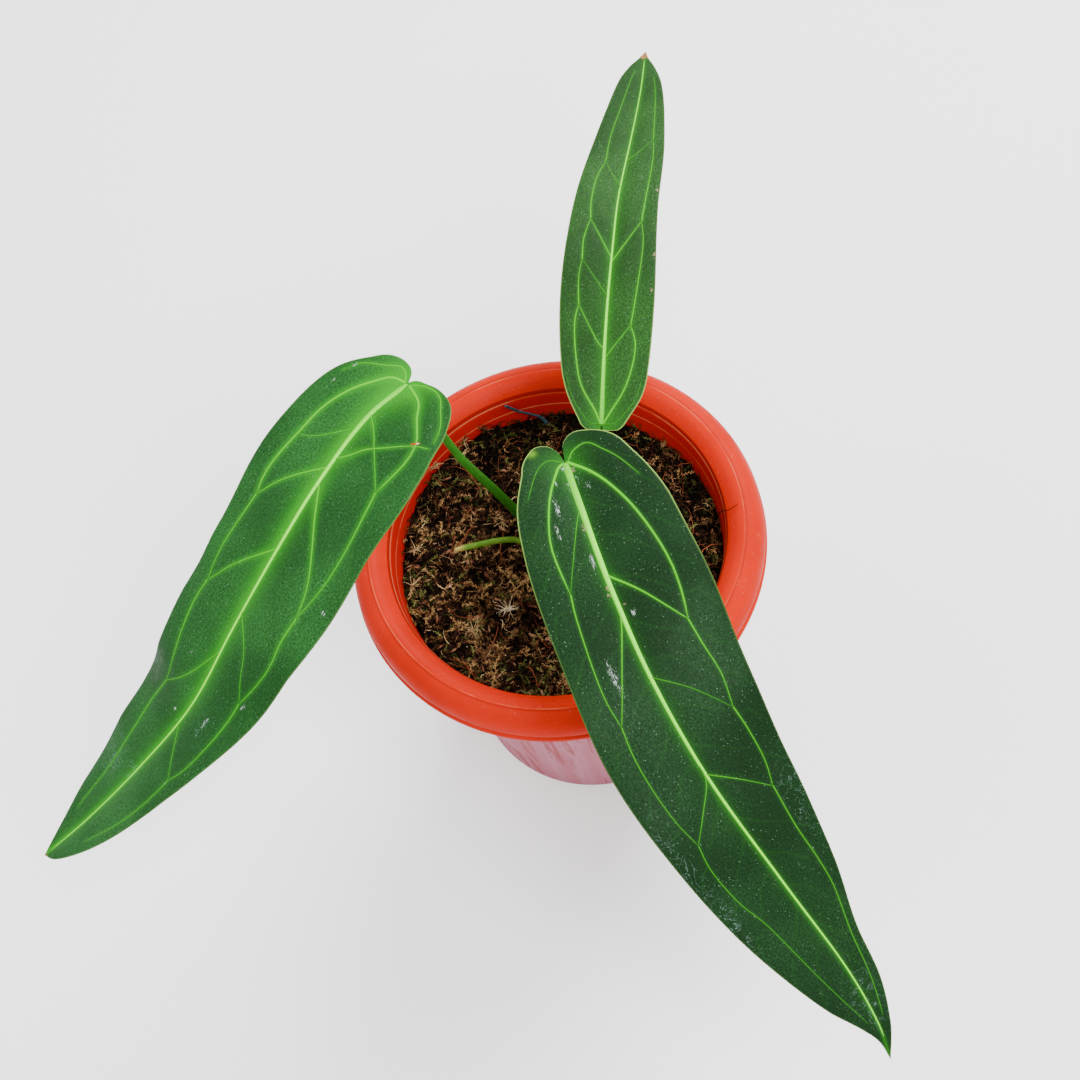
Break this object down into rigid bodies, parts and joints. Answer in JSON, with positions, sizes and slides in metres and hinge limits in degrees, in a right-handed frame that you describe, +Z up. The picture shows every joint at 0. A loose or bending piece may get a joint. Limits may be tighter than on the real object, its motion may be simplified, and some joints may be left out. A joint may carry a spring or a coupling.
{
  "type": "potted queen anthurium",
  "caption": "House plant with long arching velvety leaves on slim stalks, growing in moss and bark in a round rimmed plastic nursery pot.",
  "frame": {"origin": "middle of the pot's underside, on the surface it stands on", "axes": "+Z up along the pot's axis, -Y towards the leaf that hangs over the front of the rim, +X to the right"},
  "size_m": [0.334, 0.4154, 0.2567],
  "materials": {
    "pot_plastic": "moulded polypropylene in brick orange-red, satin, scuffed and faded pink low down",
    "growing_medium": "damp bark fibre with dried and living moss",
    "stem_bark": "ringed brown-green stock with fleshy roots",
    "petiole_skin": "smooth bright green plant skin",
    "leaf_blade_dark": "velvety deep green with pale raised veins",
    "leaf_blade": "velvety mid green with pale raised veins",
    "root_skin": "dull yellow-green root skin with a pale tip",
    "tie_plastic": "weathered blue-grey plastic"
  },
  "bodies": {
    "root": {"pot": "pot_plastic", "growing_medium": "growing_medium", "stem": "stem_bark", "petiole_front": "petiole_skin", "petiole_left": "petiole_skin", "petiole_back": "petiole_skin", "leaf_front": "leaf_blade_dark", "leaf_left": "leaf_blade", "leaf_back": "leaf_blade", "aerial_root": "root_skin", "plant_tie": "tie_plastic"}
  },
  "joints": []
}
